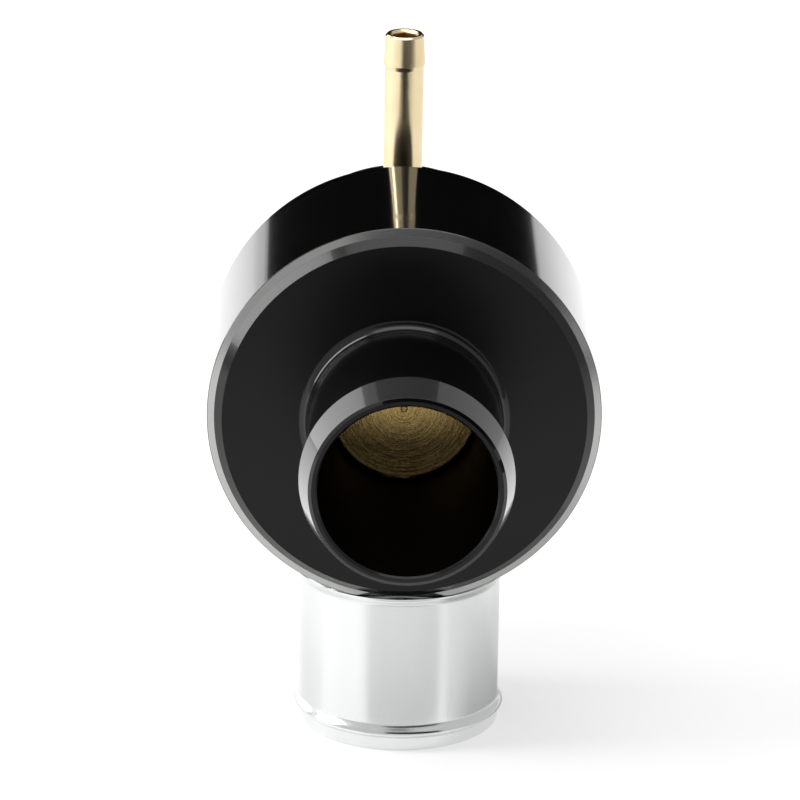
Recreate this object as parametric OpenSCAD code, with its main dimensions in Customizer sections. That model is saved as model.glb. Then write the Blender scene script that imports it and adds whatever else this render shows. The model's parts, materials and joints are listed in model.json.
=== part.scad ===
// Blow off valve with an inlet spigot, a beaded outlet tube and a vacuum nipple.
// Millimetres, +Z up. The outlet tube stands on z = 0 and its axis is the Z axis.
// The cylinder axis lies along Y at axis_h, with the inlet spigot towards -Y.

/* [Body] */
// Outer diameter of the drum, the large part of the body
drum_od = 61.1; // [58:0.1:70]
// Distance from the front face to the back of the drum
drum_end = 34.5; // [34.4:0.1:42]
// Depth of the chamfer round the front face
rim_depth = 1.45; // [0.8:0.05:2.4]
// Outer diameter of the rear barrel
barrel_od = 45; // [44:0.5:50]
// Thickness of the front wall, from the front face to the seat
front_wall = 10; // [9:0.5:12]

/* [Inlet spigot] */
// Length of the spigot in front of the front face
spigot_len = 32.2; // [28:0.2:45]
// Diameter over the hose lip
lip_d = 32.6; // [31.6:0.2:36]
// Diameter of the plain neck behind the lip
neck_d = 29.8; // [29:0.2:31]
// Bore diameter at the mouth
mouth_d = 27; // [25:0.1:27]
// Bore diameter at the throat
throat_d = 23.3; // [22:0.1:24]

/* [Outlet tube] */
// Outer diameter of the tube
tube_od = 31.75; // [28:0.25:32]
// Wall of the tube
tube_wall = 1.6; // [1.2:0.1:2.5]
// Height of the cylinder axis above the tube's lower end
axis_h = 55.6; // [50:0.1:90]
// Distance from the front face to the tube's axis
outlet_y = 17; // [16.8:0.1:17.2]
// Height of the rolled beads above the tube wall
bead_h = 0.75; // [0.3:0.05:0.8]

/* [Piston] */
// Piston diameter
piston_d = 36; // [34:0.5:37]
// Depth of the piston's face behind the front face
piston_set = 5.6; // [5:0.1:7]
// Distance from the front face to the piston's rear end
piston_end = 36; // [36:0.5:40]
// How far the piston opens
travel = 11; // [6:0.5:12]

/* [Spring] */
// Wire diameter
wire_d = 2; // [1.2:0.1:2.5]
// Outer diameter of the coil
coil_od = 25; // [22:0.5:26]
// Number of turns, with one closed turn at each end
turns = 8; // [5:1:9]

/* [Rear cap] */
// Thickness of the cap
cap_t = 4.5; // [4:0.1:6]
// Thickness of the retaining ring
clip_t = 1.5; // [1.2:0.1:1.75]

/* [Nipple] */
// Diameter of the nipple's shaft
nipple_d = 6.2; // [5:0.1:7]
// Height of the nipple above its seat
nipple_h = 26.6; // [18:0.1:40]
// Width across flats of the hexagon inside its mouth
hex_af = 3.6; // [2.5:0.1:4]

/* [Hidden] */
$fn = 96;

// Running clearances and fits
slide_fit = 0.05;
seal_fit = 0.02;
tube_fit = 0.02;
nose_gap = 0.3;
plug_fit = 0.08;

// Main places along the cylinder axis, measured back from the front face
front_y = -outlet_y;
stop_gap = 7.5;
cap_y = piston_end + travel + stop_gap;
clip_y = cap_y + cap_t + 0.1;
clip_groove_w = clip_t + 0.1;
barrel_end = clip_y + clip_groove_w + 1.3;
nipple_y = piston_end + travel + 2.5;

// Radii
drum_r = drum_od / 2;
barrel_r = barrel_od / 2;
cyl_r = piston_d / 2 + slide_fit;
plug_r = cyl_r + 1.45;
clip_groove_r = plug_r + 1.25;
tube_r = tube_od / 2;
tube_ir = tube_r - tube_wall;
throat_r = throat_d / 2;

// Front rim: a black chamfer round the face, and outside it a flatter bright edge
edge_w = 1.13;
edge_depth = 0.5;
edge_break = 0.1;
rim_w = 1.22;
edge_r = drum_r - edge_w;
face_r = edge_r - rim_w;
back_chamfer = 0.35;

// Hose lip and mouth of the spigot
lip_len = 5.7;
lip_land = 0.4;
lip_step = 0.9;
lip_front_d = lip_d - 2.8;
mouth_edge = 0.3;
mouth_chamfer = 0.35;
neck_fillet = 1.5;
seat_cone = 1.6;

// Tube seat in the body and the port that leads up to the cylinder
tube_top = axis_h - cyl_r - 1.6;
port_d = 22;
bead_w = 1.8;
bead_r = (bead_w * bead_w / 4 + bead_h * bead_h) / (2 * bead_h);
low_bead_z = 3.2;
bead_gap = 0.03;
bead_seat_depth = 1;
bead_seat_gap = 0.1;
bead_stop = axis_h - drum_r + bead_seat_depth;
high_bead_z = bead_stop - bead_w / 2 - bead_gap;
tube_chamfer = 0.3;

// Piston
piston_r = piston_d / 2;
nose_r = throat_r + 0.05 - nose_gap;
nose_edge = 0.25;
pip_r = 0.9;
pip_h = 0.15;
seat_seal_d = 1.8;
seat_floor_r = nose_r - 0.3;
seat_groove_y = front_wall - 0.75;
shoulder_y = seat_groove_y + seat_seal_d + 0.1;
guide_w = 3;
guide_depth = 1;
guide_y = piston_end - 7.8;
seal_d = 1.68;
seal_groove_w = 2.2;
seal_y = piston_end - 3.8;
seal_floor_r = cyl_r - seal_d - seal_fit;
cup_r = piston_r - 3.5;
cup_floor = shoulder_y + 4;
piston_chamfer = 0.5;
guide_slot = 1;

// Spring and its washer
washer_t = 1;
spring_start = cup_floor;
spring_end = cap_y - washer_t;
coil_r = (coil_od - wire_d) / 2;
wire_sides = 8;
turn_steps = 24;

// Rear cap
cap_r = plug_r - plug_fit;
cap_seal_d = 1.5;
cap_seal_floor = cap_r - cap_seal_d + plug_fit - seal_fit;
cap_groove_w = 1.9;
boss_r = coil_r - wire_d / 2 - 0.6;
boss_len = 2;
dish_r = 12;
dish_depth = 1;

// Retaining ring
clip_r = clip_groove_r - 0.15;
clip_w = 2.6;
clip_gap_angle = 38;
lug_r = 2.2;
lug_hole_d = 1.6;

// Nipple, its thread and its seat on the barrel
thread_d = 8;
thread_fit = 0.05;
flange_r = 5.4;
flange_t = 1.8;
seat_r = flange_r + 0.4;
seat_depth = 0.25;
nipple_seat = sqrt(barrel_r * barrel_r - seat_r * seat_r) - seat_depth;
stub_len = nipple_seat - cyl_r - 0.4;
nipple_bore = 2.8;
hex_depth = 9;
barb_r = nipple_d / 2 + 0.24;
barb_top = 4.9;
barb_step = 0.7;
nipple_mouth = 0.5;
nipple_edge = 0.4;
thread_edge = 0.5;
shaft_taper = 0.05;
copper_t = 1;
copper_fit = 0.1;
sharp = 0.01;

// Puts a shape that is turned about Z onto the cylinder axis: its z runs back from the front face.
module on_axis() {
    translate([0, front_y, axis_h])
        rotate([-90, 0, 0])
            children();
}

// A ring of round section at distance y along the cylinder axis.
module o_ring(ring_r, section_d, y) {
    on_axis()
        translate([0, 0, y])
            rotate_extrude()
                translate([ring_r, 0])
                    circle(d = section_d, $fn = 32);
}

// Half section of the outside: spigot, front rim, drum and rear barrel.
// Radius across, distance back from the front face along the axis.
module body_outline() {
    lip_y = lip_len - spigot_len;
    polygon([
        [0, -spigot_len],
        [lip_front_d / 2 - mouth_edge, -spigot_len],
        [lip_front_d / 2, mouth_edge - spigot_len],
        [lip_d / 2, lip_y],
        [lip_d / 2, lip_y + lip_land],
        [neck_d / 2, lip_y + lip_land + lip_step],
        [neck_d / 2, 0],
        [face_r, 0],
        [edge_r, rim_depth],
        [drum_r - edge_break, rim_depth + edge_depth],
        [drum_r, rim_depth + edge_depth + edge_break],
        [drum_r, drum_end - back_chamfer],
        [drum_r - back_chamfer, drum_end],
        [barrel_r, drum_end],
        [barrel_r, barrel_end - back_chamfer],
        [barrel_r - back_chamfer, barrel_end],
        [0, barrel_end]
    ]);
    // Fillet between the neck and the front face
    translate([neck_d / 2, -neck_fillet])
        difference() {
            square(neck_fillet);
            translate([neck_fillet, 0])
                circle(neck_fillet);
        }
}

// Half section of the inside: tapered inlet, seat, cylinder, plug seat and ring groove.
module body_hollow() {
    polygon([
        [0, -spigot_len - 1],
        [mouth_d / 2 + mouth_chamfer + 1, -spigot_len - 1],
        [mouth_d / 2, mouth_chamfer - spigot_len],
        [throat_r, front_wall - seat_cone],
        [throat_r + seat_cone, front_wall],
        [cyl_r, front_wall],
        [cyl_r, cap_y],
        [plug_r, cap_y],
        [plug_r, clip_y],
        [clip_groove_r, clip_y],
        [clip_groove_r, clip_y + clip_groove_w],
        [plug_r, clip_y + clip_groove_w],
        [plug_r, barrel_end + 1],
        [0, barrel_end + 1]
    ]);
}

module body() {
    color([0.05, 0.05, 0.05])
        difference() {
            on_axis()
                rotate_extrude()
                    body_outline();
            on_axis()
                rotate_extrude()
                    body_hollow();
            // Seat for the outlet tube, the recess for its upper bead, and the port above it
            translate([0, 0, -1]) {
                cylinder(r = tube_r + tube_fit, h = tube_top + 1);
                cylinder(r = tube_r + bead_h + bead_seat_gap, h = bead_stop + 1);
            }
            cylinder(d = port_d, h = axis_h);
            // Spot face and thread for the nipple
            translate([0, front_y + nipple_y, axis_h]) {
                cylinder(d = thread_d + 2 * thread_fit, h = drum_r);
                translate([0, 0, nipple_seat])
                    cylinder(r = seat_r, h = drum_r);
            }
        }
}

module outlet_tube() {
    color([0.82, 0.82, 0.83])
        rotate_extrude()
            difference() {
                union() {
                    translate([tube_ir, 0])
                        square([tube_wall, tube_top]);
                    for (z = [low_bead_z, high_bead_z])
                        translate([tube_r + bead_h - bead_r, z])
                            circle(bead_r);
                }
                translate([0, -1])
                    square([tube_ir, tube_top + 2]);
                for (z = [low_bead_z, high_bead_z])
                    translate([tube_ir + bead_h - bead_r, z])
                        circle(bead_r);
                // Broken edge at the bottom
                translate([tube_r, 0])
                    rotate(45)
                        square(tube_chamfer * sqrt(2), center = true);
            }
}

module piston() {
    color([0.62, 0.5, 0.28])
        on_axis() {
            rotate_extrude()
                polygon([
                    [0, piston_set],
                    [nose_r - nose_edge, piston_set],
                    [nose_r, piston_set + nose_edge],
                    [nose_r, seat_groove_y],
                    [seat_floor_r, seat_groove_y],
                    [seat_floor_r, shoulder_y],
                    [piston_r - piston_chamfer, shoulder_y],
                    [piston_r, shoulder_y + piston_chamfer],
                    [piston_r, guide_y],
                    [piston_r - guide_depth, guide_y],
                    [piston_r - guide_depth, guide_y + guide_w],
                    [piston_r, guide_y + guide_w],
                    [piston_r, seal_y],
                    [seal_floor_r, seal_y],
                    [seal_floor_r, seal_y + seal_groove_w],
                    [piston_r, seal_y + seal_groove_w],
                    [piston_r, piston_end - piston_chamfer],
                    [piston_r - piston_chamfer, piston_end],
                    [cup_r, piston_end],
                    [cup_r, cup_floor],
                    [0, cup_floor]
                ]);
            // Small pip left at the centre of the turned face
            translate([0, 0, piston_set - pip_h])
                cylinder(r1 = pip_r - pip_h, r2 = pip_r, h = pip_h + sharp);
        }
}

module seat_seal() {
    color([0.07, 0.07, 0.07])
        o_ring(seat_floor_r + seat_seal_d / 2 + sharp, seat_seal_d, (seat_groove_y + shoulder_y) / 2);
}

module guide_ring() {
    ring_ir = piston_r - guide_depth + seal_fit;
    color([0.86, 0.85, 0.8])
        on_axis()
            translate([0, 0, guide_y + seal_fit])
                difference() {
                    cylinder(r = cyl_r - seal_fit, h = guide_w - 2 * seal_fit);
                    translate([0, 0, -1])
                        cylinder(r = ring_ir, h = guide_w + 2);
                    translate([0, -guide_slot / 2, -1])
                        cube([cyl_r + 1, guide_slot, guide_w + 2]);
                }
}

module piston_seal() {
    color([0.07, 0.07, 0.07])
        o_ring(seal_floor_r + seal_d / 2, seal_d, seal_y + seal_groove_w / 2);
}

// Height of the wire's centre after t turns: the end turns lie closed, the rest share what is left.
function coil_rise(t) =
    let (open_turns = turns - 2,
         open_rise = spring_end - spring_start - 3 * wire_d,
         steady = min(max(t - 1, 0), open_turns) / open_turns)
    wire_d / 2 + wire_d * min(t, 1) + open_rise * steady + wire_d * max(t - turns + 1, 0);

// One ring of points around the wire after t turns.
function wire_ring(t) =
    let (a = 360 * t)
    [for (k = [0 : wire_sides - 1])
        let (b = 360 * k / wire_sides,
             r = coil_r + wire_d / 2 * cos(b))
        [r * cos(a), r * sin(a), coil_rise(t) + wire_d / 2 * sin(b)]];

module spring() {
    rings = turns * turn_steps;
    points = [for (i = [0 : rings]) each wire_ring(i / turn_steps)];
    sides = [for (i = [0 : rings - 1], k = [0 : wire_sides - 1])
        let (n = (k + 1) % wire_sides)
        [i * wire_sides + k, i * wire_sides + n, (i + 1) * wire_sides + n, (i + 1) * wire_sides + k]];
    first = [for (k = [0 : wire_sides - 1]) wire_sides - 1 - k];
    last = [for (k = [0 : wire_sides - 1]) rings * wire_sides + k];
    color([0.6, 0.61, 0.63])
        on_axis()
            translate([0, 0, spring_start])
                polyhedron(points, concat([first], sides, [last]));
}

module spring_washer() {
    color([0.66, 0.67, 0.69])
        on_axis()
            translate([0, 0, spring_end])
                difference() {
                    cylinder(r = coil_od / 2 + 0.5, h = washer_t);
                    translate([0, 0, -1])
                        cylinder(r = boss_r + 0.15, h = washer_t + 2);
                }
}

module rear_cap() {
    groove_y = cap_y + (cap_t - cap_groove_w) / 2;
    color([0.06, 0.06, 0.06])
        on_axis()
            rotate_extrude()
                polygon([
                    [0, cap_y - boss_len],
                    [boss_r - back_chamfer, cap_y - boss_len],
                    [boss_r, cap_y - boss_len + back_chamfer],
                    [boss_r, cap_y],
                    [cap_r - back_chamfer, cap_y],
                    [cap_r, cap_y + back_chamfer],
                    [cap_r, groove_y],
                    [cap_seal_floor, groove_y],
                    [cap_seal_floor, groove_y + cap_groove_w],
                    [cap_r, groove_y + cap_groove_w],
                    [cap_r, cap_y + cap_t - back_chamfer],
                    [cap_r - back_chamfer, cap_y + cap_t],
                    [dish_r + dish_depth, cap_y + cap_t],
                    [dish_r, cap_y + cap_t - dish_depth],
                    [0, cap_y + cap_t - dish_depth]
                ]);
}

module cap_seal() {
    color([0.07, 0.07, 0.07])
        o_ring(cap_seal_floor + cap_seal_d / 2, cap_seal_d, cap_y + cap_t / 2);
}

module circlip() {
    lug_centre = clip_r - clip_w - lug_r + 1.4;
    wedge = 2 * clip_r;
    color([0.5, 0.51, 0.53])
        on_axis()
            translate([0, 0, clip_y + (clip_groove_w - clip_t) / 2])
                linear_extrude(clip_t)
                    difference() {
                        union() {
                            difference() {
                                circle(clip_r);
                                circle(clip_r - clip_w);
                                polygon([
                                    [0, 0],
                                    wedge * [sin(-clip_gap_angle / 2), cos(-clip_gap_angle / 2)],
                                    wedge * [sin(clip_gap_angle / 2), cos(clip_gap_angle / 2)]
                                ]);
                            }
                            for (side = [-1, 1])
                                rotate(-side * (clip_gap_angle / 2 + 4))
                                    translate([0, lug_centre])
                                        circle(lug_r);
                        }
                        for (side = [-1, 1])
                            rotate(-side * (clip_gap_angle / 2 + 4))
                                translate([0, lug_centre])
                                    circle(d = lug_hole_d);
                    }
}

// Places children on the nipple's seat, with z up from the seat.
module on_nipple_seat() {
    translate([0, front_y + nipple_y, axis_h + nipple_seat])
        children();
}

module nipple() {
    shaft_r = nipple_d / 2;
    color([0.85, 0.7, 0.4])
        on_nipple_seat()
            difference() {
                rotate_extrude()
                    polygon([
                        [0, -stub_len],
                        [thread_d / 2 - thread_edge, -stub_len],
                        [thread_d / 2, thread_edge - stub_len],
                        [thread_d / 2, copper_t],
                        [flange_r, copper_t],
                        [flange_r, copper_t + flange_t - nipple_edge],
                        [flange_r - nipple_edge, copper_t + flange_t],
                        [shaft_r, copper_t + flange_t],
                        [shaft_r + shaft_taper, nipple_h - barb_top - barb_step],
                        [barb_r, nipple_h - barb_top],
                        [shaft_r, nipple_h - mouth_edge],
                        [shaft_r - mouth_edge, nipple_h],
                        [0, nipple_h]
                    ]);
                translate([0, 0, -stub_len - 1])
                    cylinder(d = nipple_bore, h = stub_len + nipple_h + 2, $fn = 48);
                translate([0, 0, nipple_h - hex_depth])
                    cylinder(d = hex_af / cos(30), h = hex_depth + 1, $fn = 6);
                // Countersunk mouth
                translate([0, 0, nipple_h - nipple_mouth])
                    cylinder(r1 = hex_af / 2, r2 = hex_af / 2 + 2 * nipple_mouth, h = 2 * nipple_mouth, $fn = 48);
            }
}

module nipple_washer() {
    color([0.7, 0.4, 0.25])
        on_nipple_seat()
            difference() {
                cylinder(r = flange_r, h = copper_t);
                translate([0, 0, -1])
                    cylinder(r = thread_d / 2 + copper_fit, h = copper_t + 2);
            }
}

body();
outlet_tube();
piston();
seat_seal();
guide_ring();
piston_seal();
spring();
spring_washer();
rear_cap();
cap_seal();
circlip();
nipple();
nipple_washer();
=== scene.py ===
# Blow off valve: a turned black body with an inlet spigot in front, a beaded aluminium outlet
# tube below, a sprung brass piston inside and a brass vacuum nipple at the rear.
# Sizes are in millimetres, and places along the body are measured back from its front face.
import json
import math

import bpy
import numpy as np
from mathutils import Matrix, Vector


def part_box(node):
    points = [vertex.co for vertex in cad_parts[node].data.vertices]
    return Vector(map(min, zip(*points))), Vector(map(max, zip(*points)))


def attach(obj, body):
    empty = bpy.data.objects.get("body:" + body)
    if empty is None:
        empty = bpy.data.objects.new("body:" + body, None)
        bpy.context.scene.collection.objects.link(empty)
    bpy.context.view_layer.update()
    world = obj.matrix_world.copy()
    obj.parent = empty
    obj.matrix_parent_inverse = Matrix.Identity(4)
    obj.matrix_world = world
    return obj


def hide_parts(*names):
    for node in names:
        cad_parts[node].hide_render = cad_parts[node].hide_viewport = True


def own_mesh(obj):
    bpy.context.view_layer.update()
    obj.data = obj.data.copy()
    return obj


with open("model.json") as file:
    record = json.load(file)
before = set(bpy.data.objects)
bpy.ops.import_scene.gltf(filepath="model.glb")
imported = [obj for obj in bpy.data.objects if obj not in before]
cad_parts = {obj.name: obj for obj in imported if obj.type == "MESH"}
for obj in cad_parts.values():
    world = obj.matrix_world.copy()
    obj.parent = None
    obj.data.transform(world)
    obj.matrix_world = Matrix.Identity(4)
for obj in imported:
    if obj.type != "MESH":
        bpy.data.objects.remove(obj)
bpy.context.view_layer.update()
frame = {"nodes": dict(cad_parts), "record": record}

# Body
# Body, inlet spigot and hose lip are turned from one bar of aluminium and anodised black.
# The front edge of the drum was turned once more afterwards, so it shows bare satin metal.


def cad_limits(node):
    """Lowest and highest corner of a CAD node in millimetres."""
    return [np.round(1000 * np.array(corner), 2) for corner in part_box(node)]


mounts = {m["name"]: m for m in frame["record"]["mounts"]}
inlet = mounts["inlet_tail"]
SPIGOT = inlet["dims"]["length_mm"]
NECK_R = inlet["dims"]["r_mm"]
FACE_Y = 1000 * inlet["pos_m"][1] + SPIGOT
AXIS_Z = 1000 * inlet["pos_m"][2]
body_high = cad_limits("body")[1]
piston_low, piston_high = cad_limits("piston")
cap_high = cad_limits("rear_cap")[1]
ring_low, ring_high = cad_limits("circlip")

# Corner radii: a cut edge, a broken edge and a rounded edge
CUT = 0.05
BROKEN = 0.1
ROUNDED = 0.15

# Spigot and its hose lip
LIP_R = 16.3
LIP_FRONT_R = 14.9
LIP_Y = 5.7 - SPIGOT
LIP_LAND = 0.4
LIP_END = LIP_Y + LIP_LAND + 0.9
LIP_ROOT = 0.4
NECK_FILLET = 1.5
MOUTH_R = 13.5
MOUTH_EDGE = 0.5
MOUTH_EDGE_DEPTH = 0.25
MOUTH_CHAMFER = 0.35

# Front rim and drum
DRUM_R = body_high[0]
DRUM_END = 34.5
EDGE_R = DRUM_R - 1.13
FACE_R = EDGE_R - 1.22
RIM_DEPTH = 1.45
EDGE_END = RIM_DEPTH + 0.5
EDGE_BREAK = 0.1
BACK_CHAMFER = 0.35

# Rear barrel, plug seat and groove of the retaining ring
BARREL_R = 22.5
BARREL_ROOT = 0.3
BODY_END = body_high[1] - FACE_Y
CAP_R = cap_high[0]
PLUG_R = CAP_R + 0.08
CAP_T = 4.5
CAP_Y = cap_high[1] - FACE_Y - CAP_T
GROOVE_R = ring_high[0] + 0.15
GROOVE_Y = ring_low[1] - FACE_Y - 0.05
GROOVE_END = ring_high[1] - FACE_Y + 0.05

# Cylinder, seat and tapered inlet
CYL_R = piston_high[0] + 0.05
FRONT_WALL = 10.0
SEAT_CONE = 1.6
THROAT_R = 11.65


def rounded(corners, closed=True, steps=6, near=0.02):
    """Section with rounded corners. Each corner is (radius from the axis, distance along it, corner
    radius). An arc starts and ends at corner radius / tan(half the corner's angle) from the corner, and a
    point close outside each end keeps the flats next to it flat. An open section keeps its two ends."""
    c = np.asarray(corners, float)
    at, bend = c[:, :2], c[:, 2:]
    back, ahead = np.roll(at, 1, 0) - at, np.roll(at, -1, 0) - at
    back /= np.linalg.norm(back, axis=1, keepdims=True)
    ahead /= np.linalg.norm(ahead, axis=1, keepdims=True)
    half = np.arccos(np.clip((back * ahead).sum(1, keepdims=True), -1, 1)) / 2
    reach = bend / np.tan(half)
    inward = (back + ahead) / np.linalg.norm(back + ahead, axis=1, keepdims=True)
    middle = at + inward * bend / np.sin(half)
    first, last = at + back * reach - middle, at + ahead * reach - middle
    turn = (np.pi - 2 * half)[:, None]
    s = np.linspace(0, 1, steps)[None, :, None]
    arc = (np.sin((1 - s) * turn) * first[:, None] + np.sin(s * turn) * last[:, None]) / np.sin(turn)
    before, after = (at + back * (reach + near))[:, None], (at + ahead * (reach + near))[:, None]
    rows = np.concatenate([before, middle[:, None] + arc, after], 1)
    if closed:
        return rows.reshape(-1, 2)
    return np.concatenate([at[:1], rows[1:-1].reshape(-1, 2), at[-1:]])


def turned(section, segments=192, closed=True):
    """Surface of revolution: ring i is the section at angle 2 pi i / segments, as (radius, along, angle)
    points. A closed section wraps into a ring; an open one starts and ends on the axis, in a point each."""
    angle = np.linspace(0, 2 * np.pi, segments, endpoint=False)
    rows = section if closed else section[1:-1]
    m = len(rows)
    grid = np.empty((segments, m, 3))
    grid[..., :2] = rows
    grid[..., 2] = angle[:, None]
    points = grid.reshape(-1, 3)
    index = np.arange(segments * m).reshape(segments, m)
    after = np.roll(index, -1, 0)
    if closed:
        a, b = index, np.roll(index, -1, 1)
        c, d = np.roll(after, -1, 1), after
    else:
        a, b, c, d = index[:, :-1], index[:, 1:], after[:, 1:], after[:, :-1]
    quads = np.stack([a, b, c, d], -1).reshape(-1, 4)
    if closed:
        return points, quads, np.empty((0, 3), int)
    ends = np.array([[0, section[0, 1], 0], [0, section[-1, 1], 0]])
    low, high = np.full(segments, len(points)), np.full(segments, len(points) + 1)
    fans = np.concatenate([np.stack([low, index[:, 0], after[:, 0]], -1),
                           np.stack([high, after[:, -1], index[:, -1]], -1)])
    return np.concatenate([points, ends]), quads, fans


def lying(points):
    """Places (radius, along, angle) points around the body's axis, which lies along Y."""
    r, along, a = points.T
    return np.stack([r * np.cos(a), FACE_Y + along, AXIS_Z + r * np.sin(a)], -1)


def standing(points, y=0.0):
    """Places (radius, height, angle) points around an upright axis through (0, y)."""
    r, up, a = points.T
    return np.stack([r * np.cos(a), y + r * np.sin(a), up], -1)


SHARP_DEG = 32


def piece(name, points, quads, tris, sharp_deg=SHARP_DEG):
    """Makes a mesh object from points in millimetres. If the volume inside, the sum over triangles of
    a . (b x c) / 6, comes out negative, every face is turned round so that all point outwards."""
    split = np.concatenate([quads[:, [0, 1, 2]], quads[:, [0, 2, 3]], tris])
    a, b, c = (points[split[:, k]] for k in range(3))
    if (a * np.cross(b, c)).sum() < 0:
        quads, tris = quads[:, ::-1], tris[:, ::-1]
    mesh = bpy.data.meshes.new(name)
    mesh.from_pydata((points * 0.001).tolist(), [], quads.tolist() + tris.tolist())
    mesh.shade_smooth()
    mesh.set_sharp_from_angle(angle=math.radians(sharp_deg))
    obj = bpy.data.objects.new(name, mesh)
    bpy.context.scene.collection.objects.link(obj)
    return obj


body_section = rounded([
    (LIP_FRONT_R - MOUTH_EDGE, -SPIGOT, CUT), (LIP_FRONT_R, MOUTH_EDGE_DEPTH - SPIGOT, CUT),
    (LIP_R, LIP_Y, ROUNDED), (LIP_R, LIP_Y + LIP_LAND, ROUNDED), (NECK_R, LIP_END, LIP_ROOT),
    (NECK_R, 0, NECK_FILLET), (FACE_R, 0, CUT), (EDGE_R, RIM_DEPTH, CUT),
    (DRUM_R - EDGE_BREAK, EDGE_END, CUT), (DRUM_R, EDGE_END + EDGE_BREAK, CUT),
    (DRUM_R, DRUM_END - BACK_CHAMFER, ROUNDED), (DRUM_R - BACK_CHAMFER, DRUM_END, ROUNDED),
    (BARREL_R, DRUM_END, BARREL_ROOT), (BARREL_R, BODY_END - BACK_CHAMFER, ROUNDED),
    (BARREL_R - BACK_CHAMFER, BODY_END, ROUNDED), (PLUG_R, BODY_END, BROKEN),
    (PLUG_R, GROOVE_END, CUT), (GROOVE_R, GROOVE_END, CUT),
    (GROOVE_R, GROOVE_Y, CUT), (PLUG_R, GROOVE_Y, CUT),
    (PLUG_R, CAP_Y, CUT), (CYL_R, CAP_Y, BROKEN), (CYL_R, FRONT_WALL, ROUNDED),
    (THROAT_R + SEAT_CONE, FRONT_WALL, BROKEN), (THROAT_R, FRONT_WALL - SEAT_CONE, BROKEN),
    (MOUTH_R, MOUTH_CHAMFER - SPIGOT, BROKEN), (MOUTH_R + MOUTH_CHAMFER, -SPIGOT, BROKEN)])
points, quads, tris = turned(body_section, 256)
body = piece("valve_body", lying(points), quads, tris)


def rod(name, radius, low, high, y=0.0):
    """Plain upright cylinder, used only as a cutter."""
    section = np.array([(0, low), (radius, low), (radius, high), (0, high)])
    p, q, t = turned(section, 128, closed=False)
    return piece(name, standing(p, y), q, t)


def drilled(obj, *cutters):
    """Cuts the cutters' shapes out of obj, and removes the cutters."""
    for cutter in cutters:
        m = obj.modifiers.new("drill", "BOOLEAN")
        m.operation = "DIFFERENCE"
        m.solver = "EXACT"
        m.object = cutter
    bpy.context.view_layer.update()
    done = bpy.data.meshes.new_from_object(obj.evaluated_get(bpy.context.evaluated_depsgraph_get()))
    obj.modifiers.clear()
    obj.data = done
    done.shade_smooth()
    done.set_sharp_from_angle(angle=math.radians(SHARP_DEG))
    for cutter in cutters:
        bpy.data.objects.remove(cutter)


# Holes for the tube with its upper bead, the port above it, and the nipple
TUBE_R = mounts["outlet_tail"]["dims"]["r_mm"]
TUBE_TOP = mounts["outlet_bore"]["dims"]["length_mm"]
SEAT_R = TUBE_R - 0.45
SEAT_PLAY = 0.02
BEAD_H = 0.75
BEAD_PLAY = 0.1
BEAD_STOP = AXIS_Z - DRUM_R + 1.0
PORT_R = 11.0
NIPPLE_Y = 1000 * mounts["vacuum_tail"]["pos_m"][1]
NIPPLE_TOP = 1000 * mounts["vacuum_tail"]["pos_m"][2]
NIPPLE_SEAT = cad_limits("nipple_washer")[0][2]
THREAD_R = 4.0
THREAD_PLAY = 0.05
FLANGE_R = 5.4
FLANGE_PLAY = 0.4
BELOW = -5.0
ABOVE = 90.0
drilled(body, rod("tube_seat", SEAT_R + SEAT_PLAY, BELOW, TUBE_TOP),
        rod("bead_seat", TUBE_R + BEAD_H + BEAD_PLAY, BELOW, BEAD_STOP),
        rod("port", PORT_R, BELOW, AXIS_Z),
        rod("nipple_thread", THREAD_R + THREAD_PLAY, AXIS_Z, ABOVE, NIPPLE_Y),
        rod("spot_face", FLANGE_R + FLANGE_PLAY, NIPPLE_SEAT, ABOVE, NIPPLE_Y))


class Wire:
    """One socket of a material. Arithmetic on it adds Math nodes, and node() adds any other node."""

    def __init__(self, tree, socket):
        self.tree = tree
        self.socket = socket

    def node(self, kind, settings, inputs, out=0):
        """Adds a node of a kind with its settings, and sets or links its sockets."""
        made = self.tree.nodes.new(kind)
        for key, value in settings.items():
            setattr(made, key, value)
        for key, value in inputs.items():
            if isinstance(value, Wire):
                self.tree.links.new(value.socket, made.inputs[key])
            else:
                made.inputs[key].default_value = value
        return Wire(self.tree, made.outputs[out])

    def math(self, operation, *values):
        return self.node("ShaderNodeMath", {"operation": operation}, dict(enumerate(values)))

    def __add__(self, other):
        return self.math("ADD", self, other)

    __radd__ = __add__

    def __mul__(self, other):
        return self.math("MULTIPLY", self, other)

    __rmul__ = __mul__

    def __sub__(self, other):
        return self.math("SUBTRACT", self, other)

    def __rsub__(self, other):
        return self.math("SUBTRACT", other, self)

    def __truediv__(self, other):
        return self.math("DIVIDE", self, other)

    def __pow__(self, other):
        return self.math("POWER", self, other)

    def over(self, limit):
        return self.math("GREATER_THAN", self, limit)

    def under(self, limit):
        return self.math("LESS_THAN", self, limit)

    def eased(self, low, high, start=0.0, end=1.0):
        """Goes smoothly from start to end as the value goes from low to high."""
        return self.node("ShaderNodeMapRange", {"interpolation_type": "SMOOTHSTEP"},
                         {0: self, 1: low, 2: high, 3: start, 4: end})

    def split(self):
        made = self.tree.nodes.new("ShaderNodeSeparateXYZ")
        self.tree.links.new(self.socket, made.inputs[0])
        return [Wire(self.tree, o) for o in made.outputs]

    def joined(self, x, y, z):
        return self.node("ShaderNodeCombineXYZ", {}, {0: x, 1: y, 2: z})

    def grain(self, place, scale, detail=2.0):
        """Noise from 0 to 1 at a place, given in millimetres."""
        return self.node("ShaderNodeTexNoise", {}, {"Vector": place, "Scale": scale, "Detail": detail})

    def tint(self, amount, first, second):
        """Mixes two colours."""
        return self.node("ShaderNodeMix", {"data_type": "RGBA"}, {0: amount, 6: first, 7: second}, 2)


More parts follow.
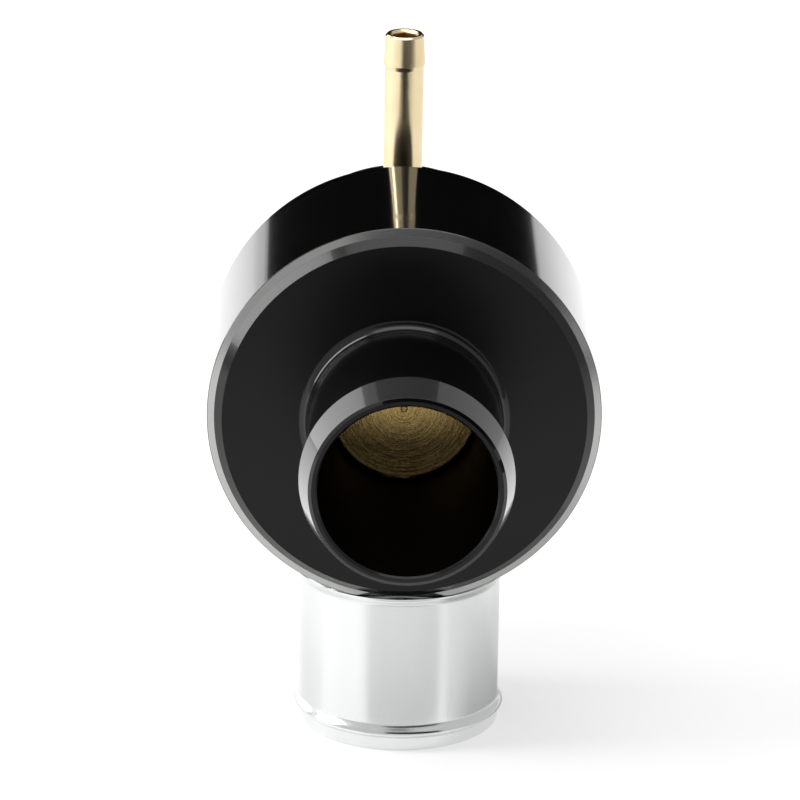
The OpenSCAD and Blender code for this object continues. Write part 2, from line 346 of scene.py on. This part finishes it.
def finish(name, **steady):
    """A new material: its Principled shader with the given steady values, and the object's X, Y and Z
    in millimetres."""
    mat = bpy.data.materials.new(name)
    mat.use_nodes = True
    tree = mat.node_tree
    shader = tree.nodes["Principled BSDF"]
    for key, value in steady.items():
        shader.inputs[key.replace("_", " ")].default_value = value
    place = Wire(tree, tree.nodes.new("ShaderNodeTexCoord").outputs["Object"])
    x, y, z = (w * 1000.0 for w in place.split())
    return mat, shader, x, y, z


def feed(shader, **wires):
    """Links what varies over the surface to the shader. relief is a height in millimetres for a Bump
    node."""
    for key, wire in wires.items():
        if key == "relief":
            steps = {"Height": wire * 0.001, "Distance": 1.0, "Strength": 1.0}
            wire = wire.node("ShaderNodeBump", {}, steps)
            key = "Normal"
        wire.tree.links.new(wire.socket, shader.inputs[key.replace("_", " ")])


def dressed(obj, mat):
    """Gives a piece its material."""
    obj.data.materials.clear()
    obj.data.materials.append(mat)
    return obj


def anodised(name):
    """Black anodising over turned metal: smooth on the outside and satin on the front face,
    with fine rings left by the tool, faint cutter arcs on the face, and bare metal on the front edge."""
    mat, shader, x, y, z = finish(name, IOR=1.35, Coat_IOR=1.5, Coat_Roughness=0.05)
    back, up = y - FACE_Y, z - AXIS_Z
    radius = (x * x + up * up) ** 0.5
    front = back.under(0.25) * back.over(-0.25) * radius.over(NECK_R + 0.7) * radius.under(FACE_R)
    chamfer = back.over(0.05) * back.under(RIM_DEPTH) * radius.over(FACE_R)
    edge = back.over(RIM_DEPTH) * back.under(EDGE_END) * radius.over(EDGE_R - 0.1)
    outside = back.over(EDGE_END) * back.under(DRUM_END - 0.3) * radius.over(BARREL_R + 0.5)
    hose_lip = back.under(LIP_END) * radius.over(LIP_FRONT_R - MOUTH_EDGE)
    fillet = back.over(-NECK_FILLET) * back.under(-0.02) * radius.under(NECK_R + NECK_FILLET)
    rings = x.grain(x.joined(radius, back, 0.0), 5.0, 3.0)
    cloud = x.grain(x.joined(x, back, up), 0.12, 2.0)
    aside = (x * x) ** 0.5 - DRUM_R
    sweep = (aside * aside + (up + 2.0) * (up + 2.0)) ** 0.5
    arcs = x.grain(x.joined(sweep, 0.0, 0.0), 2.6, 1.0)
    black = x.tint(cloud, (0.0006, 0.0006, 0.0007, 1), (0.0018, 0.0018, 0.002, 1))
    bare = x.tint(rings, (0.36, 0.36, 0.355, 1), (0.46, 0.46, 0.455, 1))
    feed(shader, Base_Color=x.tint(edge, black, bare), Metallic=edge,
         Coat_Weight=outside + 0.2 * chamfer + hose_lip + 0.5 * fillet,
         Roughness=0.2 + 0.13 * front - 0.08 * outside + 0.03 * edge + (rings - 0.5) * 0.05,
         relief=(rings - 0.5) * (0.0015 + 0.003 * front + 0.004 * edge) + (arcs - 0.5) * 0.004 * front)
    return mat


def bore_black(name):
    """The inlet's wall: the same black, left dull by a coarse boring cut, which hardly mirrors."""
    mat, shader, x, y, z = finish(name, IOR=1.06)
    cuts = x.grain(x.joined(0.0, y, 0.0), 5.0, 3.0)
    feed(shader, Base_Color=x.tint(cuts, (0.0006, 0.0006, 0.0006, 1), (0.0015, 0.0015, 0.0015, 1)),
         Roughness=0.35 + cuts * 0.1, relief=cuts * 0.003)
    return mat


def line_bore(obj, mat):
    """Gives a second material to the faces inside the inlet, which are those whose middle lies nearer
    to the axis than the mouth's radius and in front of the cylinder."""
    middles = np.empty(len(obj.data.polygons) * 3)
    obj.data.polygons.foreach_get("center", middles)
    x, y, z = 1000 * middles.reshape(-1, 3).T
    inside = (np.hypot(x, z - AXIS_Z) < MOUTH_R) & (y < FACE_Y + FRONT_WALL)
    obj.data.materials.append(mat)
    obj.data.polygons.foreach_set("material_index", inside.astype(np.int32))


black_anodised = anodised("black_anodised_body")
dressed(body, black_anodised)
line_bore(body, bore_black("black_anodised_bore"))
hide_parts("body")
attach(body, "housing")

# Outlet tube
# Aluminium tube of 31.75 mm with a wall of 1.6 mm, turned down a little and pressed into the body's
# underside. Two beads are rolled outwards for the hose clip, so the inside is grooved behind them.
TUBE_IR = mounts["outlet_bore"]["dims"]["r_mm"]
LOW_BEAD = 2.9
HIGH_BEAD = BEAD_STOP - 0.25
BEAD_LONG = 1.6
LOW_SHORT = 0.9
HIGH_SHORT = 0.25


def bead(height):
    """Rise of the wall: BEAD_H times half of 1 + cos(pi t), where t goes from 0 at a bead's crest to 1 at
    its end, BEAD_LONG away towards the middle of the tube and a shorter way towards the tube's end."""
    low, high = height - LOW_BEAD, height - HIGH_BEAD
    t = np.stack([np.where(low > 0, low / BEAD_LONG, low / LOW_SHORT),
                  np.where(high < 0, high / BEAD_LONG, high / HIGH_SHORT)])
    return (BEAD_H / 2 * (1 + np.cos(np.pi * np.clip(t, -1, 1)))).sum(0)


# Rings of points: close together over the beads, far apart on the plain wall, and a few on the broken
# edges of the tube's top and foot
low_steps = LOW_BEAD + np.concatenate([np.linspace(-LOW_SHORT, 0, 17), np.linspace(0, BEAD_LONG, 25)])
high_steps = HIGH_BEAD + np.concatenate([np.linspace(-BEAD_LONG, 0, 25), np.linspace(0, HIGH_SHORT, 17)])
plain_wall = np.array([0.32, 0.36, 0.5, 0.8, 10.0, 17.0, TUBE_TOP - 5.0, TUBE_TOP - 0.35, TUBE_TOP - 0.25])
heights = np.unique(np.concatenate([plain_wall, low_steps, high_steps]))
outer = np.stack([np.where(heights > HIGH_BEAD + 0.01, SEAT_R, TUBE_R) + bead(heights), heights], -1)
inner = np.stack([TUBE_IR + bead(heights), heights], -1)[::-1]
top = np.array([(SEAT_R - 0.03, TUBE_TOP - 0.07), (SEAT_R - 0.1, TUBE_TOP - 0.01),
                (SEAT_R - 0.17, TUBE_TOP), (TUBE_IR + 0.17, TUBE_TOP),
                (TUBE_IR + 0.07, TUBE_TOP - 0.03), (TUBE_IR + 0.01, TUBE_TOP - 0.1)])
foot = np.array([(TUBE_IR + 0.01, 0.1), (TUBE_IR + 0.05, 0.03), (TUBE_IR + 0.12, 0), (TUBE_R - 0.37, 0),
                 (TUBE_R - 0.27, 0.02), (TUBE_R - 0.19, 0.08), (TUBE_R - 0.04, 0.23)])
points, quads, tris = turned(np.concatenate([outer, top, inner, foot]), 224)
tube = piece("outlet_tube_drawn", standing(points), quads, tris)


def drawn_aluminium(name):
    """Satin drawn tube: fine marks along it, a few broader bands, and beads polished by the roller."""
    mat, shader, x, y, z = finish(name, Metallic=1.0)
    marks = x.grain(x.joined(x, y, z * 0.02), 3.5, 4.0)
    bands = x.grain(x.joined(x, y, 0.0), 0.18, 1.0)
    polish = sum(((z - b) * (z - b)).eased(0.2, 2.2, 1.0, 0.0) for b in (LOW_BEAD, HIGH_BEAD))
    tone = x.tint(bands, (0.76, 0.765, 0.77, 1), (0.84, 0.84, 0.845, 1))
    feed(shader, Base_Color=tone, Roughness=0.25 + (marks - 0.5) * 0.12 - 0.07 * polish,
         relief=(marks - 0.5) * 0.004 * (1 - 0.7 * polish))
    return mat


dressed(tube, drawn_aluminium("drawn_aluminium"))
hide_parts("outlet_tube")
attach(tube, "housing")

# Piston
# Turned brass, dull from use. Its nose fills the throat, so its face shows in the inlet.
# The skirt carries a guide ring and a seal, and the spring sits in its hollow rear.
PISTON_R = piston_high[0]
PISTON_END = piston_high[1] - FACE_Y
PIP_TOP = piston_low[1] - FACE_Y
NOSE_FACE = PIP_TOP + 0.15
NOSE_R = THROAT_R - 0.25
NOSE_EDGE = 0.25
PIP_R = 0.35
SEAT_SEAL_Y = FRONT_WALL - 0.75
SEAT_SEAL_R = NOSE_R - 0.3
SHOULDER_Y = SEAT_SEAL_Y + 1.9
SKIRT_EDGE = 0.5
GUIDE_Y = PISTON_END - 7.8
GUIDE_END = GUIDE_Y + 3.0
GUIDE_R = PISTON_R - 1.0
SEAL_Y = PISTON_END - 3.8
SEAL_END = SEAL_Y + 2.2
SEAL_R = PISTON_R - 1.65
CUP_R = PISTON_R - 3.5
CUP_FLOOR = SHOULDER_Y + 4.0
CUP_ROOT = 0.5
piston_section = rounded([
    (0, PIP_TOP + 0.05, 0), (PIP_R, PIP_TOP + 0.05, CUT), (PIP_R + 0.2, NOSE_FACE, CUT),
    (NOSE_R - NOSE_EDGE, NOSE_FACE, CUT), (NOSE_R, NOSE_FACE + NOSE_EDGE, CUT),
    (NOSE_R, SEAT_SEAL_Y, CUT), (SEAT_SEAL_R, SEAT_SEAL_Y, CUT), (SEAT_SEAL_R, SHOULDER_Y, CUT),
    (PISTON_R - SKIRT_EDGE, SHOULDER_Y, BROKEN), (PISTON_R, SHOULDER_Y + SKIRT_EDGE, BROKEN),
    (PISTON_R, GUIDE_Y, CUT), (GUIDE_R, GUIDE_Y, CUT),
    (GUIDE_R, GUIDE_END, CUT), (PISTON_R, GUIDE_END, CUT),
    (PISTON_R, SEAL_Y, CUT), (SEAL_R, SEAL_Y, CUT),
    (SEAL_R, SEAL_END, CUT), (PISTON_R, SEAL_END, CUT),
    (PISTON_R, PISTON_END - SKIRT_EDGE, BROKEN), (PISTON_R - SKIRT_EDGE, PISTON_END, BROKEN),
    (CUP_R, PISTON_END, ROUNDED), (CUP_R, CUP_FLOOR, CUP_ROOT), (0, CUP_FLOOR, 0)], closed=False)
points, quads, tris = turned(piston_section, 192, closed=False)
piston = piece("piston_turned", lying(points), quads, tris)


def dull_brass(name):
    """Turned brass gone dull: rings left by the tool, broken into short arcs, and darker cloudy patches."""
    mat, shader, x, y, z = finish(name, Metallic=1.0)
    up = z - AXIS_Z
    radius = (x * x + up * up) ** 0.5
    round_x, round_z = x / (radius + 0.01), up / (radius + 0.01)
    rings = x.grain(x.joined(radius * 1.6, y, 0.0), 3.0, 3.0)
    arcs = x.grain(x.joined(radius * 3.0, round_x * 2.4, round_z * 2.4), 1.5, 3.0)
    cloud = x.grain(x.joined(x, y, up), 0.16, 3.0)
    tone = x.tint(arcs.eased(0.3, 0.72), (0.82, 0.55, 0.2, 1), (0.99, 0.7, 0.27, 1))
    tone = x.tint(cloud.eased(0.35, 0.75) * 0.35, tone, (0.5, 0.31, 0.1, 1))
    feed(shader, Base_Color=tone, Roughness=0.27 + (arcs - 0.5) * 0.14,
         relief=(rings - 0.5) * 0.035 + (arcs - 0.5) * 0.01)
    return mat


dressed(piston, dull_brass("piston_brass_turned"))
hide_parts("piston")
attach(piston, "valve")

# Seals and guide ring
# Rubber rings on the piston's nose, on its skirt and around the rear cap, and a split
# white plastic ring that guides the skirt. All lie in turned grooves.


def soft_rubber(name):
    """Moulded black rubber: matt, with a fine uneven skin and a trace of oil."""
    mat, shader, x, y, z = finish(name, IOR=1.5)
    skin = x.grain(x.joined(x, y, z), 2.2, 4.0)
    film = x.grain(x.joined(x, y, z), 0.25, 2.0)
    feed(shader, Base_Color=x.tint(skin, (0.018, 0.018, 0.018, 1), (0.035, 0.035, 0.034, 1)),
         Roughness=0.5 + film * 0.25, relief=skin * 0.01)
    return mat


def guide_plastic(name):
    """Natural white plastic strip with faint rubbed lines round it."""
    mat, shader, x, y, z = finish(name, IOR=1.4)
    lines = x.grain(x.joined(0.0, y, 0.0), 6.0, 2.0)
    patch = x.grain(x.joined(x, y, z), 0.3, 2.0)
    feed(shader, Base_Color=x.tint(patch, (0.78, 0.77, 0.71, 1), (0.88, 0.87, 0.83, 1)),
         Roughness=0.42 + lines * 0.15, relief=lines * 0.006)
    return mat


seal_rubber = soft_rubber("seal_rubber_moulded")
for node in ("seat_seal", "piston_seal", "cap_seal"):
    dressed(frame["nodes"][node], seal_rubber)
dressed(frame["nodes"]["guide_ring"], guide_plastic("guide_plastic_strip"))

# Spring and its washer
# Steel wire of 2 mm wound to 25 mm, with one closed turn at each end, between the piston
# and a thin steel washer on the rear cap. The real spring shortens as the piston opens; here it is built at
# one length.
spring_low, spring_high = cad_limits("spring")
TURNS = 8
WIRE_R = 1.0
COIL_R = 11.5
SPRING_LOW = spring_low[1] - FACE_Y
SPRING_LEN = spring_high[1] - spring_low[1]
turn_at = np.linspace(0, TURNS, TURNS * 64 + 1)
open_share = np.clip((turn_at - 1) / (TURNS - 2), 0, 1)
closed_turns = np.clip(turn_at, 0, 1) + np.clip(turn_at - TURNS + 1, 0, 1)
rise = SPRING_LOW + WIRE_R * (1 + 2 * closed_turns) + (SPRING_LEN - 6 * WIRE_R) * open_share


def wire_tube(radius, along, angle, thick, sides=16):
    """Round wire along a coil: at each step a circle of points, cos across the coil's radius and sin along
    its axis. Both ends are closed with a point on the wire's centre."""
    b = np.linspace(0, 2 * np.pi, sides, endpoint=False)
    n = len(angle)
    p = np.empty((n, sides, 3))
    p[..., 0] = radius + thick * np.cos(b)
    p[..., 1] = along[:, None] + thick * np.sin(b)
    p[..., 2] = angle[:, None]
    index = np.arange(n * sides).reshape(n, sides)
    a, d = index[:-1], index[1:]
    quads = np.stack([a, np.roll(a, -1, 1), np.roll(d, -1, 1), d], -1).reshape(-1, 4)
    tips = np.array([[radius, along[0], angle[0]], [radius, along[-1], angle[-1]]])
    first, last = index[0], index[-1]
    low, high = np.full(sides, n * sides), np.full(sides, n * sides + 1)
    fans = np.concatenate([np.stack([low, np.roll(first, -1), first], -1),
                           np.stack([high, last, np.roll(last, -1)], -1)])
    return np.concatenate([p.reshape(-1, 3), tips]), quads, fans


points, quads, tris = wire_tube(COIL_R, rise, 2 * np.pi * turn_at, WIRE_R)
spring = piece("spring_wound", lying(points), quads, tris, 60)


def oiled_steel(name, tone):
    """Plain steel with drawing marks, a little heat colour and an oil film that changes its gloss."""
    mat, shader, x, y, z = finish(name, Metallic=1.0)
    marks = x.grain(x.joined(x, y * 4.0, z), 1.2, 3.0)
    film = x.grain(x.joined(x, y, z), 0.2, 2.0)
    dark = tuple(0.75 * v for v in tone) + (1,)
    feed(shader, Base_Color=x.tint(film, dark, tone + (1,)), Roughness=0.22 + marks * 0.2,
         relief=marks * 0.004)
    return mat


spring_steel = oiled_steel("spring_steel_oiled", (0.5, 0.51, 0.53))
dressed(spring, spring_steel)
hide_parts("spring")
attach(spring, "housing")
0.001 * AXIS_Z
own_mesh(spring)
dressed(frame["nodes"]["spring_washer"], spring_steel)

# Rear cap and retaining ring
# A turned black plug closes the cylinder behind the spring, and a steel ring with two eyes,
# sprung into a groove of the barrel, holds it in.
CAP_END = CAP_Y + CAP_T
CAP_EDGE = 0.35
BOSS_R = 9.9
BOSS_Y = CAP_Y - 2.0
CAP_SEAL_R = CAP_R - 1.44
CAP_SEAL_Y = CAP_Y + 1.3
CAP_SEAL_END = CAP_SEAL_Y + 1.9
DISH_R = 12.0
DISH_DEPTH = 1.0
cap_section = rounded([
    (0, BOSS_Y, 0), (BOSS_R - CAP_EDGE, BOSS_Y, BROKEN), (BOSS_R, BOSS_Y + CAP_EDGE, ROUNDED),
    (BOSS_R, CAP_Y, BROKEN), (CAP_R - CAP_EDGE, CAP_Y, BROKEN), (CAP_R, CAP_Y + CAP_EDGE, BROKEN),
    (CAP_R, CAP_SEAL_Y, CUT), (CAP_SEAL_R, CAP_SEAL_Y, CUT), (CAP_SEAL_R, CAP_SEAL_END, CUT),
    (CAP_R, CAP_SEAL_END, CUT), (CAP_R, CAP_END - CAP_EDGE, BROKEN), (CAP_R - CAP_EDGE, CAP_END, BROKEN),
    (DISH_R + DISH_DEPTH, CAP_END, ROUNDED), (DISH_R, CAP_END - DISH_DEPTH, ROUNDED),
    (0, CAP_END - DISH_DEPTH, 0)], closed=False)
points, quads, tris = turned(cap_section, 160, closed=False)
cap = piece("rear_cap_turned", lying(points), quads, tris)
dressed(cap, black_anodised)
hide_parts("rear_cap")
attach(cap, "housing")
dressed(frame["nodes"]["circlip"], oiled_steel("ring_steel_blued", (0.3, 0.31, 0.33)))

# Nipple and its washer
# Bright turned brass hose nipple, screwed into the barrel with a key in the hexagon of its
# mouth. It has one barb near the top and sits on a copper washer.
NIPPLE_END = cad_limits("nipple")[0][2]
SHAFT_R = mounts["vacuum_tail"]["dims"]["r_mm"]
SHAFT_ROOT = 0.3
SHAFT_TOP_R = SHAFT_R + 0.05
THREAD_EDGE = 0.5
FLANGE_LOW = NIPPLE_SEAT + 1.0
FLANGE_TOP = FLANGE_LOW + 1.8
FLANGE_EDGE = 0.4
BARB_R = SHAFT_R + 0.24
BARB_Z = NIPPLE_TOP - 4.9
BARB_STEP = 0.7
TIP_EDGE = 0.3
NIPPLE_BORE_R = 1.4
HEX_R = 1.8
HEX_MOUTH = 0.5
HEX_FLOOR = NIPPLE_TOP - 9.0
HEX_CONE = 0.2
HEX_CORNER = 1.135
nipple_section = rounded([
    (NIPPLE_BORE_R, NIPPLE_END, BROKEN), (THREAD_R - THREAD_EDGE, NIPPLE_END, BROKEN),
    (THREAD_R, NIPPLE_END + THREAD_EDGE, BROKEN), (THREAD_R, FLANGE_LOW, CUT),
    (FLANGE_R, FLANGE_LOW, BROKEN), (FLANGE_R, FLANGE_TOP - FLANGE_EDGE, BROKEN),
    (FLANGE_R - FLANGE_EDGE, FLANGE_TOP, ROUNDED), (SHAFT_R, FLANGE_TOP, SHAFT_ROOT),
    (SHAFT_TOP_R, BARB_Z - BARB_STEP, SHAFT_ROOT), (BARB_R, BARB_Z, BROKEN),
    (SHAFT_R, NIPPLE_TOP - TIP_EDGE, BROKEN), (SHAFT_R - TIP_EDGE, NIPPLE_TOP, CUT),
    (HEX_R + HEX_MOUTH, NIPPLE_TOP, CUT), (HEX_R, NIPPLE_TOP - HEX_MOUTH, CUT),
    (HEX_R, HEX_FLOOR, CUT), (NIPPLE_BORE_R, HEX_FLOOR - HEX_CONE, CUT)])
points, quads, tris = turned(nipple_section, 180)


def hexagon(p, low, high, flat, near=0.06):
    """Moves points of a round hole onto a hexagon: each radius is divided by the cosine of the angle from
    the middle of its side, and grows to HEX_CORNER times at most, which blunts the corners."""
    r, up, a = p.T
    side = (a + np.pi / 6) % (np.pi / 3) - np.pi / 6
    inside = (r < flat + near) & (up > low) & (up < high)
    return np.stack([np.where(inside, r * np.minimum(1 / np.cos(side), HEX_CORNER), r), up, a], -1)


points = hexagon(points, HEX_FLOOR - HEX_CONE / 2, NIPPLE_TOP - HEX_MOUTH + 0.12, HEX_R)
nipple = piece("nipple_turned", standing(points, NIPPLE_Y), quads, tris)


def bright_brass(name):
    """Clean turned brass: fine rings round it, slightly deeper in tone in patches, and inside the hexagon
    dull from the broach, with dark brown painted shade for the deep hole."""
    mat, shader, x, y, z = finish(name, Metallic=1.0)
    off = y - NIPPLE_Y
    radius = (x * x + off * off) ** 0.5
    # Inside the hexagon the colour is dark brown painted shade for the deep hole, and the roughness is
    # raised.
    hole = radius.under(HEX_R * 1.17) * z.under(NIPPLE_TOP - HEX_MOUTH + 0.1)
    rings = x.grain(x.joined(0.0, 0.0, z), 4.0, 3.0)
    patch = x.grain(x.joined(x, y, z), 0.22, 2.0)
    tone = x.tint(patch, (0.74, 0.59, 0.34, 1), (0.86, 0.74, 0.5, 1))
    feed(shader, Base_Color=x.tint(hole, tone, (0.32, 0.16, 0.05, 1)),
         Roughness=0.17 + rings * 0.1 + 0.3 * hole, relief=rings * 0.006)
    return mat


def plain_copper(name):
    """Annealed copper with dull brown patches."""
    mat, shader, x, y, z = finish(name, Metallic=1.0)
    patch = x.grain(x.joined(x, y, z), 0.6, 3.0)
    feed(shader, Base_Color=x.tint(patch, (0.45, 0.2, 0.11, 1), (0.8, 0.46, 0.32, 1)),
         Roughness=0.25 + patch * 0.25)
    return mat


dressed(nipple, bright_brass("nipple_brass_bright"))
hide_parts("nipple")
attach(nipple, "housing")
dressed(frame["nodes"]["nipple_washer"], plain_copper("washer_copper_plain"))

# Floor
# White table top. It is lit as usual, and a little light of its own, seen directly and in
# mirrors only, lifts it to white outside the shadow.


def sheet(name, corners):
    """Flat four-cornered card, corners in metres."""
    mesh = bpy.data.meshes.new(name)
    mesh.from_pydata(corners, [], [(0, 1, 2, 3)])
    obj = bpy.data.objects.new(name, mesh)
    bpy.context.scene.collection.objects.link(obj)
    return obj


def seen_rays(tree):
    """1 for rays that come from the camera, from a mirror or through glass, and 0 for the rest."""
    paths = tree.nodes.new("ShaderNodeLightPath")
    camera = Wire(tree, paths.outputs["Is Camera Ray"])
    glossy = Wire(tree, paths.outputs["Is Glossy Ray"])
    through = Wire(tree, paths.outputs["Is Transmission Ray"])
    return camera.math("MAXIMUM", camera.math("MAXIMUM", camera, glossy), through)


floor = sheet("floor", [(-4, -1.5, 0), (4, -1.5, 0), (4, 6, 0), (-4, 6, 0)])
white, shader, x, y, z = finish("floor_white", Roughness=0.8, Emission_Strength=0.5)
speck = x.grain(x.joined(x, y, 0.0), 0.02, 2.0)
feed(shader, Base_Color=x.tint(speck, (0.54, 0.54, 0.54, 1), (0.56, 0.56, 0.56, 1)),
     Emission_Color=x.tint(seen_rays(white.node_tree), (0, 0, 0, 1), (1, 1, 1, 1)))
floor.data.materials.append(white)

# Cards
# Dark cards stand behind the valve and beside the camera and lie on the table in front, and grey ones
# stand above the rear one and lie round the tube. Only mirrors see them: they keep the top of the body,
# its front face and its edge dark, and draw the grey bands down the tube. The three grey cards round the
# tube's foot are painted shade: they stand in for the shaded table round the foot as the tube mirrors it.


def card(name, tone, *corners):
    """A matt grey card with four corners in metres, faintly mottled, that only reflections see."""
    mat, shader, x, y, z = finish(name + "_paint", Roughness=0.9, IOR=1.0)
    mottle = x.grain(x.joined(x, y, z), 0.02, 2.0)
    feed(shader, Base_Color=x.tint(mottle, (0.95 * tone,) * 3 + (1,), (1.05 * tone,) * 3 + (1,)))
    obj = sheet(name, corners)
    obj.data.materials.append(mat)
    obj.visible_camera = False
    obj.visible_diffuse = False
    obj.visible_shadow = False
    obj.visible_transmission = False


def upright_card(name, tone, y, *corners):
    """A card that stands across the view at y, with corners (x, z)."""
    card(name, tone, *((x, y, z) for x, z in corners))


def flat_card(name, tone, height, *corners):
    """A card that lies at a height just above the table, with corners (x, y)."""
    card(name, tone, *((x, y, height) for x, y in corners))


DARK = 0.004
REAR_Y = 0.5
REAR_TOP = 0.48
CAMERA_Y = -0.85
FRONT_H = 0.002
TUBE_H = 0.001
upright_card("rear_card", DARK, REAR_Y, (-0.32, 0.078), (0.32, 0.078), (0.32, REAR_TOP), (-0.32, REAR_TOP))
upright_card("high_card", 0.2, REAR_Y, (-0.27, REAR_TOP), (0.27, REAR_TOP), (0.22, 0.9), (-0.22, 0.9))
upright_card("camera_card", DARK, CAMERA_Y, (-0.22, 0.3), (0.9, 0.1), (0.9, 0.74), (-0.22, 0.74))
flat_card("front_card", DARK, FRONT_H, (-0.14, -1.2), (0.9, -1.2), (0.9, -0.25), (-0.14, -0.25))
# near_card, right_card and left_card: painted shade of the table round the tube's foot, seen only in the
# tube's reflection.
flat_card("near_card", 0.7, TUBE_H, (-0.068, -0.09), (0.091, -0.09), (0.0135, -0.0225), (-0.0104, -0.0225))
flat_card("right_card", 0.88, TUBE_H, (0.0164, -0.0205), (0.082, -0.064), (0.039, 0.085), (0.0173, 0.0037))
flat_card("left_card", 0.92, TUBE_H, (-0.0181, -0.0092), (-0.1, 0.005), (-0.06, 0.074), (-0.0183, 0.0011))

# Light
# A tall bright soft box on the left, a weaker square one behind it, a wide one overhead, and a plain
# white room.


def soft_box(name, place, aim, width, height, watts):
    """Rectangular area lamp at a place, turned to an aim, both in metres."""
    lamp = bpy.data.lights.new(name, "AREA")
    lamp.shape = "RECTANGLE"
    lamp.size = width
    lamp.size_y = height
    lamp.energy = watts
    obj = bpy.data.objects.new(name, lamp)
    obj.location = place
    obj.rotation_euler = (Vector(aim) - Vector(place)).to_track_quat("-Z", "Y").to_euler()
    bpy.context.scene.collection.objects.link(obj)


soft_box("left_box", (-0.85, -0.02, 0.62), (0, 0, 0.06), 0.35, 1.0, 8.5)
soft_box("rear_left_box", (-0.85, 0.85, 0.46), (0, 0, 0.06), 0.9, 0.9, 3.2)
soft_box("top_box", (0.0, -0.15, 0.95), (0, 0, 0.05), 0.8, 0.8, 3.5)

world = bpy.data.worlds.new("white_room")
bpy.context.scene.world = world
world.use_nodes = True
sky = world.node_tree.nodes["Background"]
sky.inputs["Color"].default_value = (1, 1, 1, 1)
level = 0.55 + 0.05 * seen_rays(world.node_tree)
world.node_tree.links.new(level.socket, sky.inputs["Strength"])

# Camera
# Long lens from the front and a little above, as in the photograph, 900 mm from the point it looks at,
# which is just above the middle of the front face.
PITCH = math.radians(19.265)
YAW = math.radians(1.068)
ROLL = math.radians(0.921)
FOCUS_PX = 5841.5
FRAME_PX = 800
SENSOR = 36.0
DISTANCE = 0.9
aim = 0.001 * Vector((-0.758, FACE_Y, AXIS_Z + 3.39))
ahead = Vector((math.sin(YAW) * math.cos(PITCH), math.cos(YAW) * math.cos(PITCH), -math.sin(PITCH)))
level_right = Vector((math.cos(YAW), -math.sin(YAW), 0))
level_up = level_right.cross(ahead)
right = level_right * math.cos(ROLL) + level_up * math.sin(ROLL)
upward = level_up * math.cos(ROLL) - level_right * math.sin(ROLL)
lens = bpy.data.cameras.new("camera")
lens.sensor_width = SENSOR
lens.lens = FOCUS_PX / FRAME_PX * SENSOR
lens.clip_start = 0.05
lens.clip_end = 20
camera = bpy.data.objects.new("camera", lens)
turned_to_view = Matrix((right, upward, -ahead)).transposed().to_4x4()
camera.matrix_world = Matrix.Translation(aim - ahead * DISTANCE) @ turned_to_view
bpy.context.scene.collection.objects.link(camera)
bpy.context.scene.camera = camera
bpy.context.scene.view_settings.view_transform = "Standard"
